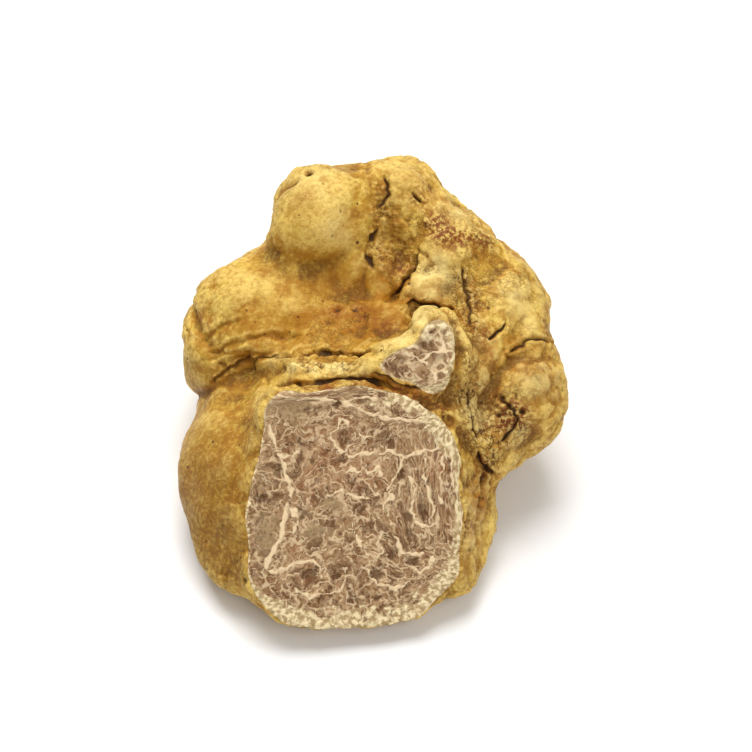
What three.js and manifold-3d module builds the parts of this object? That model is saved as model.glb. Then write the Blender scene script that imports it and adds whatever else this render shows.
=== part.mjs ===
// A white truffle: one solid fruiting body, about 49 mm wide, 57 mm deep and 33 mm high.
// It grew as a cluster of lobes run together, with creases where they meet, and one flat
// slanting knife cut has shaved its front side and the tip of a small knob just above it.
// Millimetres, +Z up. The cut side faces -Y, and the body rests on its underside at z = 0.

import * as THREE from "three";
import { mergeVertices } from "three/addons/utils/BufferGeometryUtils.js";
import Module from "manifold-3d";

// --- driving dimensions (mm, degrees) ---

const GRAIN = 1.4; // edge of the skin's faces
const CLOSED_GAP = 0.1; // how deep a closed gap between two bits of skin is filled
const ROOM = { from: [-28, -34, -4], to: [28, 34, 37] }; // holds the whole uncut body
const KNIFE_TURN = 8; // the cut faces the front, turned this much towards +X
const KNIFE_TIP = 44; // and tipped back from upright this much
const KNIFE_OUT = 22.15; // distance of the cut from the origin, along its normal
const UNDERSIDE = { x: -0.5, y: 0.3, roundness: 130, trimmed: 0.6, blend: 2 };
const SWELL = 0.2; // height of the small swellings all over the skin
const HEART = [0, 1.5, 9]; // inner point that most creases cut in towards
const CREASE_REACH = 2; // how far in and out of its route a crease keeps its full depth
const CREASE_ROUND = 0.5; // how round the bottom of a crease is
const STOCK = 100; // edge of the block that stands for what the knife took away

// --- the lobes: centre, half-sizes, and how softly each runs into those before it ---

const LOBES = [
  { name: "core", at: [1, 0.5, 10], half: [17, 17, 14], blend: 0 },
  { name: "cut side", at: [-4.1, -13.6, 7.6], half: [14.5, 13, 17.3], blend: 2.5, facing: 11, square: 2.6 },
  { name: "cut corner", at: [-11.5, -9.5, 20.9], half: [3.4, 4, 3.4], blend: 1.2, facing: 0 },
  { name: "left cheek", at: [-17, -8, 6.5], half: [7.4, 12.6, 9.3], blend: 3 },
  { name: "left foot", at: [-15.5, -16.5, 3], half: [7, 7, 6], blend: 3 },
  { name: "left waist", at: [-16.6, 6, 11.5], half: [7, 7, 8.7], blend: 4 },
  { name: "right cheek", at: [9, -12, 5], half: [6, 7, 7.5], blend: 3 },
  { name: "right foot", at: [6.5, -18.5, 3], half: [6.5, 6.5, 6], blend: 3 },
  { name: "left shoulder", at: [-15.1, 10.3, 14.3], half: [8.9, 8.4, 9.3], blend: 3 },
  { name: "left shoulder top", at: [-10, 12, 17], half: [8.6, 7.6, 7], blend: 4 },
  { name: "knob", at: [-6.7, 17.5, 27.4], half: [6.6, 6.4, 6.4], blend: 4 },
  { name: "knob root", at: [-4.3, 19.5, 20], half: [7.6, 8, 8], blend: 4 },
  { name: "knob side", at: [-0.5, 20.5, 25], half: [5.5, 6, 6.5], blend: 4 },
  { name: "ridge top", at: [4.5, 20, 26], half: [5.5, 7, 6.5], blend: 4 },
  { name: "ridge", at: [9.5, 14.5, 22.5], half: [7, 7.5, 7.5], blend: 3 },
  { name: "knob foot", at: [0.4, 12.4, 21.6], half: [4.2, 4.4, 5], blend: 2 },
  { name: "ridge foot", at: [6.6, 8.8, 21.4], half: [4.2, 4.4, 4.6], blend: 1.5 },
  { name: "right shoulder", at: [15.5, 9.5, 17.5], half: [7.5, 8.5, 8.5], blend: 3 },
  { name: "right waist", at: [18, 0.5, 12.5], half: [6.8, 8.5, 9], blend: 3 },
  { name: "right fold", at: [12, 2, 16.5], half: [6.5, 8, 7.5], blend: 3 },
  { name: "right hip", at: [12.5, -7, 11], half: [5.5, 5, 5.5], blend: 2 },
  { name: "shaved knob", at: [6.8, -2.5, 24], half: [4.4, 4.2, 5.5], blend: 1.5, facing: 0 },
  { name: "shaved knob base", at: [6.4, -4.5, 22], half: [4.6, 4.2, 4.4], blend: 1, facing: 0 },
  { name: "shaved knob arm", at: [2.5, -4, 23], half: [5.6, 4.2, 3.6], blend: 1, facing: 0 },
  { name: "knob front", at: [-3, 12.5, 19], half: [4.5, 5, 5.2], blend: 3 },
  { name: "back left", at: [-11.5, 14, 11], half: [9.5, 10, 10], blend: 3 },
  { name: "back middle", at: [0, 21.5, 13], half: [8, 7, 10], blend: 2 },
  { name: "back right", at: [11, 13.5, 11], half: [10, 10, 9], blend: 2 },
  { name: "left heel", at: [-5, 20.5, 6], half: [10, 7, 8], blend: 2 },
  { name: "right heel", at: [8, 19.5, 6], half: [8, 7, 7], blend: 2 },
];

// The hollow in front of the knob, pressed into the top.
const VALLEY = { at: [-5, 1, 28], half: [6.5, 4.7, 5], blend: 3 };

// --- the creases: a route along the skin, how wide and how deep ---

const CREASES = [
  { name: "left crease", wide: 1, deep: 1.3, route: [
    [-23.5, 5.5, 6], [-23.8, 3.6, 9.5], [-22.6, 0.6, 13], [-19.9, 0.2, 16.3], [-18.1, 0.8, 17],
    [-15.3, 1.9, 17.4]] },
  { name: "brow over the cut", wide: 0.8, deep: 1.3, route: [
    [-13, -4.5, 19.5], [-9.5, -7.5, 23.5], [-3.5, -7.5, 24], [-1, -7.8, 24.2], [3, -8.6, 22.9],
    [8.5, -10.6, 19.6]] },
  { name: "valley slit", wide: 0.7, deep: 0.8, route: [[-8, -0.5, 22], [-3.5, -1.5, 22], [-1, -4.5, 25.5]] },
  { name: "knob furrow", wide: 1.2, deep: 1.2, towards: [1, 24, 25], route: [
    [1, 19, 33], [0.5, 14, 30], [-0.5, 12, 27], [-1, 11.5, 23]] },
  { name: "round the shaved knob", wide: 0.9, deep: 1.4, route: [
    [5, 5.5, 23], [6.5, 1, 27], [9, -1.5, 27], [9.5, -5, 25], [8.5, -8, 21]] },
  { name: "right hip crease", wide: 1.2, deep: 1.6, route: [[10, -11, 18], [13, -12.5, 13]] },
  { name: "right waist crease", wide: 1.1, deep: 1.1, route: [
    [22.5, 0, 19.5], [18.5, -1.5, 21.5], [16, -3, 21], [13.5, -6.5, 18.5]] },
  { name: "ridge bend", wide: 0.8, deep: 1, route: [
    [5.2, 11.4, 27], [4.4, 9.8, 25.2], [3.2, 8.2, 23.5], [1.5, 6.5, 23]] },
  { name: "nape", wide: 1.4, deep: 1.6, route: [[2, 26, 29.5], [-2, 28, 20], [1, 28.5, 11.5]] },
  { name: "left flank", wide: 1.3, deep: 1.5, route: [
    [-10, 18.5, 32.5], [-15.5, 18, 22.5], [-22.5, 15, 17.5], [-21.5, 5, 18]] },
  { name: "right flank", wide: 1.3, deep: 1.5, route: [
    [22, 12.5, 14], [19, 17.5, 19], [16.5, 21, 14.5], [13.5, 24.5, 5]] },
  { name: "left heel crease", wide: 1.2, deep: 1.4, route: [
    [-9, 26.5, 6.5], [-18, 23.5, 10.5], [-20, 14, 5.5]] },
  { name: "left sole", wide: 1.2, deep: 1.4, route: [
    [-23, -13, 3], [-16, -9, 0.5], [-13.5, -1, 0.5], [-18, 6, 2.5]] },
  { name: "front sole", wide: 1.1, deep: 1.2, route: [
    [-9, -19, 1.5], [-5, -18, 1.5], [1, -15, 0.8], [9, -14, 1], [14, -10, 1.5]] },
  { name: "back sole", wide: 1.2, deep: 1.5, route: [
    [1, 27, 4.5], [1.5, 20, 1], [-5, 15, 0.8], [-14, 13, 2.5]] },
  { name: "right sole", wide: 1.2, deep: 1.4, route: [
    [21, 5, 5.5], [13.5, 5, 2.2], [11, 12, 1.6], [16, 18, 4]] },
];

// --- how the lobes become one skin: below zero inside the body, zero on its skin ---

// The smaller of two depths, with the corner between them rounded by blend.
function joined(a, b, blend) {
  const near = blend > 0 ? Math.max(blend - Math.abs(a - b), 0) / blend : 0;
  return Math.min(a, b) - near * near * blend / 4;
}

// What is in the first and not in the second, with the same rounding.
function hollowed(a, b, blend) {
  return -joined(-a, b, blend);
}

// A lobe that faces the knife is tipped with the cut, and turned in the cut's plane.
function lobeTurn({ facing }) {
  if (facing === undefined) return new THREE.Quaternion();
  const rad = THREE.MathUtils.degToRad;
  const turn = new THREE.Euler(-rad(KNIFE_TIP), rad(facing), rad(KNIFE_TURN), "ZXY");
  return new THREE.Quaternion().setFromEuler(turn).invert();
}

const lobes = [...LOBES, VALLEY].map((lobe) => ({
  ...lobe,
  centre: new THREE.Vector3(...lobe.at),
  intoLobe: lobeTurn(lobe),
}));
const valley = lobes.pop();

// Distance from a point to a lobe's surface; square above 2 makes the lobe boxier.
function lobeDistance(p, { centre, half, intoLobe, square = 2 }) {
  const q = p.clone().sub(centre).applyQuaternion(intoLobe);
  const shares = [q.x / half[0], q.y / half[1], q.z / half[2]].map(Math.abs);
  const size = shares.reduce((sum, s) => sum + s ** square, 0) ** (1 / square);
  const slopes = shares.map((s, axis) => s ** (square - 1) / half[axis]);
  return (size - 1) * size ** (square - 1) / Math.max(Math.hypot(...slopes), 1e-6);
}

// Each stretch of a crease cuts straight in towards a point inside the body.
const creases = CREASES.map(({ route, towards = HEART, ...crease }) => {
  const points = route.map((point) => new THREE.Vector3(...point));
  const stretches = points.slice(1).map((end, i) => {
    const line = new THREE.Line3(points[i], end);
    const inwards = new THREE.Vector3(...towards).sub(line.getCenter(new THREE.Vector3())).normalize();
    const seenFromAbove = new THREE.Line3(
      line.start.clone().projectOnPlane(inwards), line.end.clone().projectOnPlane(inwards));
    return { line, inwards, seenFromAbove };
  });
  return { ...crease, stretches };
});

// How much a crease takes off the skin near a point, most on the crease's own line.
function creaseDepth(p, { stretches, wide, deep }) {
  const flat = new THREE.Vector3();
  const near = new THREE.Vector3();
  let away = Infinity;
  for (const { line, inwards, seenFromAbove } of stretches) {
    flat.copy(p).projectOnPlane(inwards);
    const share = seenFromAbove.closestPointToPointParameter(flat, true);
    const across = seenFromAbove.at(share, near).distanceTo(flat);
    const along = Math.abs(line.at(share, near).sub(p).dot(inwards));
    away = Math.min(away, Math.hypot(across, Math.max(along - CREASE_REACH, 0), CREASE_ROUND));
  }
  return deep * Math.exp(-away / wide);
}

// Small swellings with no direction of their own, from three waves bent by each other.
function swelling({ x, y, z }) {
  const u = x + 1.6 * Math.sin(0.23 * y + 1.4);
  const v = y + 1.8 * Math.sin(0.27 * z + 1.7);
  const w = z + 1.5 * Math.sin(0.25 * x + 2.9);
  return SWELL * (Math.sin(0.7 * u + 0.8) * Math.sin(0.63 * v + 4.9)
    + Math.sin(0.58 * v + 3.9) * Math.sin(0.71 * w + 0.4)
    + Math.sin(0.66 * w + 2.6) * Math.sin(0.61 * u + 0.2));
}

function skin(p) {
  let depth = Infinity;
  for (const lobe of lobes) depth = joined(depth, lobeDistance(p, lobe), lobe.blend);
  depth = hollowed(depth, lobeDistance(p, valley), valley.blend);
  depth += swelling(p);
  const { x, y, roundness, trimmed, blend } = UNDERSIDE;
  const under = ((p.x - x) ** 2 + (p.y - y) ** 2) / (2 * roundness) - trimmed - p.z;
  depth = hollowed(depth, -under, blend);
  for (const crease of creases) depth += creaseDepth(p, crease);
  return depth;
}

// --- the skin as faces: one point in each small cube that the skin runs through ---

function skinGeometry() {
  const counts = ROOM.to.map((to, axis) => Math.ceil((to - ROOM.from[axis]) / GRAIN) + 1);
  const strides = [1, counts[0], counts[0] * counts[1]];
  const node = (n) => new THREE.Vector3(...ROOM.from.map((from, axis) =>
    from + GRAIN * (Math.floor(n / strides[axis]) % counts[axis])));
  const depths = Float32Array.from({ length: strides[2] * counts[2] }, (_, n) => skin(node(n)));
  const crosses = (a, b) => (depths[a] < 0) !== (depths[b] < 0);
  const lastCube = depths.length - strides[0] - strides[1] - strides[2];

  // Where two bits of skin would meet along a grid line, the gap between them is closed.
  for (let pinched = true; pinched;) {
    pinched = false;
    for (let n = 0; n < lastCube; n += 1) {
      for (const [u, v] of [[0, 1], [1, 2], [2, 0]].map((pair) => pair.map((axis) => strides[axis]))) {
        const across = [n, n + u + v];
        const beside = [n + u, n + v];
        if (crosses(...across) || crosses(...beside) || !crosses(n, n + u)) continue;
        const gap = depths[n] > 0 ? across : beside;
        depths[depths[gap[0]] < depths[gap[1]] ? gap[0] : gap[1]] = -CLOSED_GAP;
        pinched = true;
      }
    }
  }

  // The twelve edges of a cube, as the steps from its first corner to their two ends.
  const edges = [];
  for (let corner = 0; corner < 8; corner += 1) {
    const from = strides.reduce((sum, stride, axis) => sum + stride * ((corner >> axis) & 1), 0);
    strides.forEach((stride, axis) => {
      if (!((corner >> axis) & 1)) edges.push([from, from + stride]);
    });
  }

  // Each cube's point is the middle of the places where the skin crosses its edges.
  const positions = [];
  const pointOf = new Map();
  for (let cube = 0; cube < lastCube; cube += 1) {
    const crossed = edges.filter(([a, b]) => crosses(cube + a, cube + b));
    if (crossed.length === 0) continue;
    const middle = new THREE.Vector3();
    for (const [a, b] of crossed) {
      const share = depths[cube + a] / (depths[cube + a] - depths[cube + b]);
      middle.add(node(cube + a).lerp(node(cube + b), share));
    }
    pointOf.set(cube, positions.length / 3);
    positions.push(...middle.divideScalar(crossed.length));
  }

  // A four-sided face joins the four cubes round each grid edge that the skin crosses.
  const faces = [];
  for (let n = strides[2]; n < lastCube; n += 1) {
    strides.forEach((stride, axis) => {
      if (!crosses(n, n + stride)) return;
      const [u, v] = [strides[(axis + 1) % 3], strides[(axis + 2) % 3]];
      const ring = [n, n - u, n - u - v, n - v].map((cube) => pointOf.get(cube));
      if (depths[n] > 0) ring.reverse();
      faces.push(ring[0], ring[1], ring[2], ring[0], ring[2], ring[3]);
    });
  }
  const geometry = new THREE.BufferGeometry();
  geometry.setAttribute("position", new THREE.Float32BufferAttribute(positions, 3));
  geometry.setIndex(faces);
  return geometry;
}

// --- the knife cut, and the flat that the body rests on ---

// A block that holds everything beyond a plane, which is out from the origin along normal.
function blockBeyond(normal, out) {
  const geometry = new THREE.BoxGeometry(STOCK, STOCK, STOCK);
  geometry.deleteAttribute("normal");
  geometry.deleteAttribute("uv");
  geometry.translate(0, 0, out + STOCK / 2);
  geometry.applyQuaternion(
    new THREE.Quaternion().setFromUnitVectors(new THREE.Vector3(0, 0, 1), normal));
  return mergeVertices(geometry);
}

const wasm = await Module();
wasm.setup();

function solid(geometry) {
  return new wasm.Manifold(new wasm.Mesh({
    numProp: 3,
    vertProperties: geometry.getAttribute("position").array,
    triVerts: new Uint32Array(geometry.getIndex().array),
  }));
}

function truffleGeometry() {
  const knifeNormal = new THREE.Vector3(0, 0, 1).applyEuler(new THREE.Euler(
    THREE.MathUtils.degToRad(90 - KNIFE_TIP), 0, THREE.MathUtils.degToRad(KNIFE_TURN), "ZXY"));
  const mesh = solid(skinGeometry())
    .subtract(solid(blockBeyond(knifeNormal, KNIFE_OUT)))
    .subtract(solid(blockBeyond(new THREE.Vector3(0, 0, -1), 0)))
    .getMesh();
  const geometry = new THREE.BufferGeometry();
  geometry.setAttribute("position", new THREE.BufferAttribute(mesh.vertProperties, 3));
  geometry.setIndex(new THREE.BufferAttribute(mesh.triVerts, 1));
  geometry.computeBoundingBox();
  const middle = geometry.boundingBox.getCenter(new THREE.Vector3());
  geometry.translate(-middle.x, -middle.y, -geometry.boundingBox.min.z);
  geometry.computeVertexNormals();
  return geometry;
}

const ochreSkin = new THREE.MeshStandardMaterial({ color: 0xcfa657, roughness: 0.8, metalness: 0 });
const truffle = new THREE.Mesh(truffleGeometry(), ochreSkin);
truffle.name = "truffle";

const group = new THREE.Group();
group.add(truffle);
export default group;
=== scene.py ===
import math

import bmesh
import bpy
import numpy as np
from mathutils import Euler, Matrix, Vector, kdtree, noise


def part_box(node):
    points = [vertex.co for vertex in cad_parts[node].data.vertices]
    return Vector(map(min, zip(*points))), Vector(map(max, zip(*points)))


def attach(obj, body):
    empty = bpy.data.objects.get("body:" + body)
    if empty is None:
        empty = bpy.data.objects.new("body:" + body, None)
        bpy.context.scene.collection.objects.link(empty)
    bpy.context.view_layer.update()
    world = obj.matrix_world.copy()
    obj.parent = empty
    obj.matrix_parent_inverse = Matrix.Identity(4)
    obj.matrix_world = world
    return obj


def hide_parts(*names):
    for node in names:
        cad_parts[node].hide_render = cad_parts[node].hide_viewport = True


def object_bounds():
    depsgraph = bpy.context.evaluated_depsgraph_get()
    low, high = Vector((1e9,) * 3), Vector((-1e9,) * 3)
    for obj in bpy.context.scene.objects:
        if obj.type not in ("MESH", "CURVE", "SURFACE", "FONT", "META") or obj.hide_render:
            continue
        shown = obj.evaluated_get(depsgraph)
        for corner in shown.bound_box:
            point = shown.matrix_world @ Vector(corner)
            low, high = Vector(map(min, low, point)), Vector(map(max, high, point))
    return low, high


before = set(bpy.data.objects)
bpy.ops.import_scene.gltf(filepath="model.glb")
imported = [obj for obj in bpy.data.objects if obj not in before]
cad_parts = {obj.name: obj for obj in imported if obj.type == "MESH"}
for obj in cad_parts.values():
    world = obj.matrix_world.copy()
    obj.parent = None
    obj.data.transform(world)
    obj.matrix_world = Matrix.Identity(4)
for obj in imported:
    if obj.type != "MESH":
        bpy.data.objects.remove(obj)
cad_low, cad_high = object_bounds()


# ======================================================================================
# The truffle: its shape
# One fruiting body, dug up whole. It grew as a cluster of lobes pressed into each other,
# with creases where they meet and a hollow on top. A knife has since shaved it flat on one
# slanting plane, through its front side and through the tip of a small knob above that.
# ======================================================================================

MM = 0.001  # metres

# Each lobe, in mm: name, centre, half-sizes, how softly it runs into those before it, and then,
# for a lobe that faces the knife, its turn in the plane of the cut and how square it is.
LOBES = [
    ("core", (1, 0.5, 10), (17, 17, 14), 0),
    ("cut side", (-4.1, -13.6, 7.6), (14.5, 13, 17.3), 2.5, 11, 2.6),
    ("cut corner", (-11.5, -9.5, 20.9), (3.4, 4, 3.4), 1.2, 0),
    ("left cheek", (-17, -8, 6.5), (7.4, 12.6, 9.3), 3),
    ("left foot", (-15.5, -16.5, 3), (7, 7, 6), 3),
    ("left waist", (-16.6, 6, 11.5), (7, 7, 8.7), 4),
    ("right cheek", (9, -12, 5), (6, 7, 7.5), 3),
    ("right foot", (6.5, -18.5, 3), (6.5, 6.5, 6), 3),
    ("left shoulder", (-15.1, 10.3, 14.3), (8.9, 8.4, 9.3), 3),
    ("left shoulder top", (-10, 12, 17), (8.6, 7.6, 7), 4),
    ("knob", (-6.7, 17.5, 27.4), (6.6, 6.4, 6.4), 4),
    ("knob root", (-4.3, 19.5, 20), (7.6, 8, 8), 4),
    ("knob side", (-0.5, 20.5, 25), (5.5, 6, 6.5), 4),
    ("ridge top", (4.5, 20, 26), (5.5, 7, 6.5), 4),
    ("ridge", (9.5, 14.5, 22.5), (7, 7.5, 7.5), 3),
    ("knob foot", (0.4, 12.4, 21.6), (4.2, 4.4, 5), 2),
    ("ridge foot", (6.6, 8.8, 21.4), (4.2, 4.4, 4.6), 1.5),
    ("right shoulder", (15.5, 9.5, 17.5), (7.5, 8.5, 8.5), 3),
    ("right waist", (18, 0.5, 12.5), (6.8, 8.5, 9), 3),
    ("right fold", (12, 2, 16.5), (6.5, 8, 7.5), 3),
    ("right hip", (12.5, -7, 11), (5.5, 5, 5.5), 2),
    ("shaved knob", (6.8, -2.5, 24), (4.4, 4.2, 5.5), 1.5, 0),
    ("shaved knob base", (6.4, -4.5, 22), (4.6, 4.2, 4.4), 1, 0),
    ("shaved knob arm", (2.5, -4, 23), (5.6, 4.2, 3.6), 1, 0),
    ("knob front", (-3, 12.5, 19), (4.5, 5, 5.2), 3),
    ("back left", (-11.5, 14, 11), (9.5, 10, 10), 3),
    ("back middle", (0, 21.5, 13), (8, 7, 10), 2),
    ("back right", (11, 13.5, 11), (10, 10, 9), 2),
    ("left heel", (-5, 20.5, 6), (10, 7, 8), 2),
    ("right heel", (8, 19.5, 6), (8, 7, 7), 2),
]
VALLEY, VALLEY_BLEND = ((-5, 1, 28), (6.5, 4.7, 5)), 3  # centre and half-sizes, as a lobe's
KNIFE_TURN, KNIFE_TIP, KNIFE_OUT = 8, 44, 22.15  # degrees, degrees, mm from the origin
UNDERSIDE = {"x": -0.5, "y": 0.3, "roundness": 130, "trimmed": 0.6, "blend": 2}  # mm
SWELL = 0.2  # mm, height of one of the waves that swell the skin
HEART = (0, 1.5, 9)  # where a crease cuts in to, unless it says otherwise
CREASE_REACH = 2  # mm, how far in and out from its route a crease keeps its depth
CREASE_ROUND = 0.2  # mm, how round its bottom is
CREASE_SHARP = 0.8  # the finished creases are this much narrower than the solid's

# Each crease: name, how wide, how deep, its route along the skin, and for one where it cuts
# in to.
CREASES = [
    ("left crease", 1, 1.3, [
        (-23.5, 5.5, 6), (-23.8, 3.6, 9.5), (-22.6, 0.6, 13), (-19.9, 0.2, 16.3),
        (-18.1, 0.8, 17), (-15.3, 1.9, 17.4)]),
    ("brow over the cut", 0.7, 1.1, [
        (-13, -4.5, 19.5), (-9.5, -7.5, 23.5), (-3.5, -7.5, 24), (-1, -7.8, 24.2),
        (3, -8.6, 22.9), (8.5, -10.6, 19.6)]),
    ("valley slit", 0.7, 0.8, [(-8, -0.5, 22), (-3.5, -1.5, 22), (-1, -4.5, 25.5)]),
    ("knob furrow", 1, 0.6, [
        (1, 19, 33), (0.5, 14, 30), (-0.5, 12, 27), (-1, 11.5, 23)], (1, 24, 25)),
    ("round the shaved knob", 0.9, 1.4, [
        (5, 5.5, 23), (6.5, 1, 27), (9, -1.5, 27), (9.5, -5, 25), (8.5, -8, 21)]),
    ("right hip crease", 0.9, 1.2, [(10, -11, 18), (13, -12.5, 13)]),
    ("right waist crease", 1.1, 1.1, [
        (22.5, 0, 19.5), (18.5, -1.5, 21.5), (16, -3, 21), (13.5, -6.5, 18.5)]),
    ("ridge bend", 0.8, 1, [
        (5.2, 11.4, 27), (4.4, 9.8, 25.2), (3.2, 8.2, 23.5), (1.5, 6.5, 23)]),
    ("nape", 1.4, 1.6, [(2, 26, 29.5), (-2, 28, 20), (1, 28.5, 11.5)]),
    ("left flank", 1.3, 1.5, [
        (-10, 18.5, 32.5), (-15.5, 18, 22.5), (-22.5, 15, 17.5), (-21.5, 5, 18)]),
    ("right flank", 1.3, 1.5, [(22, 12.5, 14), (19, 17.5, 19), (16.5, 21, 14.5), (13.5, 24.5, 5)]),
    ("left heel crease", 1.2, 1.4, [(-9, 26.5, 6.5), (-18, 23.5, 10.5), (-20, 14, 5.5)]),
    ("left sole", 1.2, 1.4, [(-23, -13, 3), (-16, -9, 0.5), (-13.5, -1, 0.5), (-18, 6, 2.5)]),
    ("front sole", 1.1, 1.2, [
        (-9, -19, 1.5), (-5, -18, 1.5), (1, -15, 0.8), (9, -14, 1), (14, -10, 1.5)]),
    ("back sole", 1.2, 1.5, [(1, 27, 4.5), (1.5, 20, 1), (-5, 15, 0.8), (-14, 13, 2.5)]),
    ("right sole", 1.2, 1.4, [(21, 5, 5.5), (13.5, 5, 2.2), (11, 12, 1.6), (16, 18, 4)]),
]


def facing_knife(roll):
    """Axes turned to the knife: across the cut, into the body and up the cut."""
    turns = (math.radians(angle) for angle in (-KNIFE_TIP, roll, KNIFE_TURN))
    return np.array(Euler(tuple(turns), "YXZ").to_matrix(), np.float32)


KNIFE_FRAME = facing_knife(0)
CUT_RIGHT, CUT_OUT, CUT_UP = KNIFE_FRAME[:, 0], -KNIFE_FRAME[:, 1], KNIFE_FRAME[:, 2]


def joined(a, b, blend):
    """The smaller of two depths, with the corner between them rounded."""
    near = np.maximum(blend - np.abs(a - b), 0) / max(blend, 1e-6)
    return np.minimum(a, b) - near * near * blend / 4


def hollowed(a, b, blend):
    """What is in the first and not in the second, with the same rounding."""
    return -joined(-a, b, blend)


def lobe_depth(points, at, half, roll=None, square=2):
    """Depth of one lobe: below zero inside it, zero on its skin."""
    offset, half = points - np.array(at, np.float32), np.array(half, np.float32)
    if roll is not None:
        offset = offset @ facing_knife(roll)
    shares = np.abs(offset / half)
    size = (shares ** square).sum(1) ** (1 / square)
    slopes = np.linalg.norm(shares ** (square - 1) / half, axis=1)
    return (size - 1) * size ** (square - 1) / np.maximum(slopes, 1e-6)


def crease_depth(points, wide, deep, route, towards=HEART):
    """How much a crease takes off near each point. Each stretch cuts in towards a point."""
    away = np.full(len(points), np.inf, np.float32)
    for start, end in zip(np.array(route[:-1], np.float32), np.array(route[1:], np.float32)):
        inwards = np.array(towards, np.float32) - (start + end) / 2
        inwards /= np.linalg.norm(inwards)
        offset, line = points - start, end - start
        flat = offset - (offset @ inwards)[:, None] * inwards
        flat_line = line - (line @ inwards) * inwards
        share = np.clip(flat @ flat_line / (flat_line @ flat_line), 0, 1)[:, None]
        across = np.linalg.norm(flat - share * flat_line, axis=1)
        along = np.abs((offset - share * line) @ inwards)
        away = np.minimum(away, np.hypot(across, np.maximum(along - CREASE_REACH, 0)))
    return deep * np.exp(-np.hypot(away, CREASE_ROUND) / (wide * CREASE_SHARP))


def swelling(points):
    """Low swellings all over the skin: crossed waves 9 to 11 mm long, slightly bent."""
    x, y, z = points.T
    u = x + 1.6 * np.sin(0.23 * y + 1.4)
    v = y + 1.8 * np.sin(0.27 * z + 1.7)
    w = z + 1.5 * np.sin(0.25 * x + 2.9)
    return SWELL * (np.sin(0.7 * u + 0.8) * np.sin(0.63 * v + 4.9)
                    + np.sin(0.58 * v + 3.9) * np.sin(0.71 * w + 0.4)
                    + np.sin(0.66 * w + 2.6) * np.sin(0.61 * u + 0.2))


def lobed(points):
    """Depth of the smooth lobed body, with its valley, swellings and rounded underside."""
    depth = np.full(len(points), np.inf, np.float32)
    for _, at, half, blend, *facing in LOBES:
        depth = joined(depth, lobe_depth(points, at, half, *facing), blend)
    depth = hollowed(depth, lobe_depth(points, *VALLEY), VALLEY_BLEND) + swelling(points)
    x, y, z = points.T
    bowl = ((x - UNDERSIDE["x"]) ** 2 + (y - UNDERSIDE["y"]) ** 2) / (2 * UNDERSIDE["roundness"])
    return hollowed(depth, z - bowl + UNDERSIDE["trimmed"], UNDERSIDE["blend"])


def skin(points):
    """The same body with its creases."""
    return lobed(points) + sum(crease_depth(points, *crease[1:]) for crease in CREASES)


INSET = 0.1  # mm, how far the finished skin keeps inside the body's own solid
CUT_EDGE = 0.25  # mm, how far the arris of the cut and of the resting flat is rounded


def whole(points):
    """The body as it is now: its skin, shaved by the knife and flat where it rests."""
    beyond_knife = points @ CUT_OUT - np.float32(KNIFE_OUT)
    depth = hollowed(skin(points) + INSET, -beyond_knife, CUT_EDGE)
    return hollowed(depth, points[:, 2], CUT_EDGE)


# --- the skin as faces: one point in each small cube that the surface runs through ---

GRAIN = 0.46  # mm, size of the cubes
BLOCK = 4  # cubes on a side of the blocks that are looked at first
BAND = 3.6  # mm, how near a block's middle has to be to the surface
ROOM_LOW, ROOM_HIGH = (-28, -34, -2), (28, 34, 37)  # mm, the room that is looked at
CLOSED = -0.05  # mm, the depth given to a gap that is closed
block_counts = [math.ceil((high - low) / GRAIN / BLOCK) for low, high in zip(ROOM_LOW, ROOM_HIGH)]


def grid_points(indices, step, first):
    return (np.array(ROOM_LOW) + GRAIN * (indices * step + first)).astype(np.float32)


blocks = np.indices(block_counts).reshape(3, -1).T
block_depth = lobed(grid_points(blocks, BLOCK, (BLOCK - 1) / 2)).reshape(block_counts)
for axis in range(3):
    block_depth = np.repeat(block_depth, BLOCK, axis)
depth = np.where(block_depth < 0, np.float32(-BAND), np.float32(BAND))
band = np.argwhere(np.abs(block_depth) < BAND)
depth[tuple(band.T)] = whole(grid_points(band, 1, 0))
beyond = np.argwhere(block_depth <= -BAND)
depth[tuple(beyond.T)] = np.maximum(
    -BAND, grid_points(beyond, 1, 0) @ CUT_OUT - np.float32(KNIFE_OUT))

# Where two bits of skin would meet along a grid line, the gap between them is closed.
STEPS = np.eye(3, dtype=int)
pinched = True
while pinched:
    pinched = False
    for u, v in ((0, 1), (1, 2), (2, 0)):
        low, side_u, side_v, high = (
            np.roll(depth < 0, [-a, -b], [u, v]) for a, b in ((0, 0), (1, 0), (0, 1), (1, 1)))
        for corner in np.argwhere((low == high) & (side_u == side_v) & (low != side_u)):
            square = [tuple(corner + a * STEPS[u] + b * STEPS[v])
                      for a, b in ((0, 0), (1, 1), (1, 0), (0, 1))]
            gap = square[:2] if depth[square[0]] > 0 else square[2:]
            depth[min(gap, key=lambda corner: depth[corner])] = CLOSED
            pinched = True

cube_sums = np.zeros((depth.size, 3))
cube_counts = np.zeros(depth.size)
rings = []
for axis in range(3):
    ahead = np.roll(depth, -1, axis)
    crossed = np.argwhere((depth < 0) != (ahead < 0))
    here, there = depth[tuple(crossed.T)], ahead[tuple(crossed.T)]
    place = crossed + STEPS[axis] * (here / (here - there))[:, None]
    u, v = STEPS[(axis + 1) % 3], STEPS[(axis + 2) % 3]
    ring = np.stack([np.ravel_multi_index((crossed - step).T, depth.shape)
                     for step in (0 * u, u, u + v, v)], 1)
    for cubes in ring.T:
        cube_sums[cubes] += place
        cube_counts[cubes] += 1
    ring[here > 0] = ring[here > 0][:, ::-1]
    rings.append(ring)
used, quads = np.unique(np.concatenate(rings), return_inverse=True)
quads = quads.reshape(-1, 4)
points = np.array(ROOM_LOW) + GRAIN * cube_sums[used] / cube_counts[used][:, None]


FURTHEST = 0.3  # mm, how far a point moves in one step towards the surface


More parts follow.
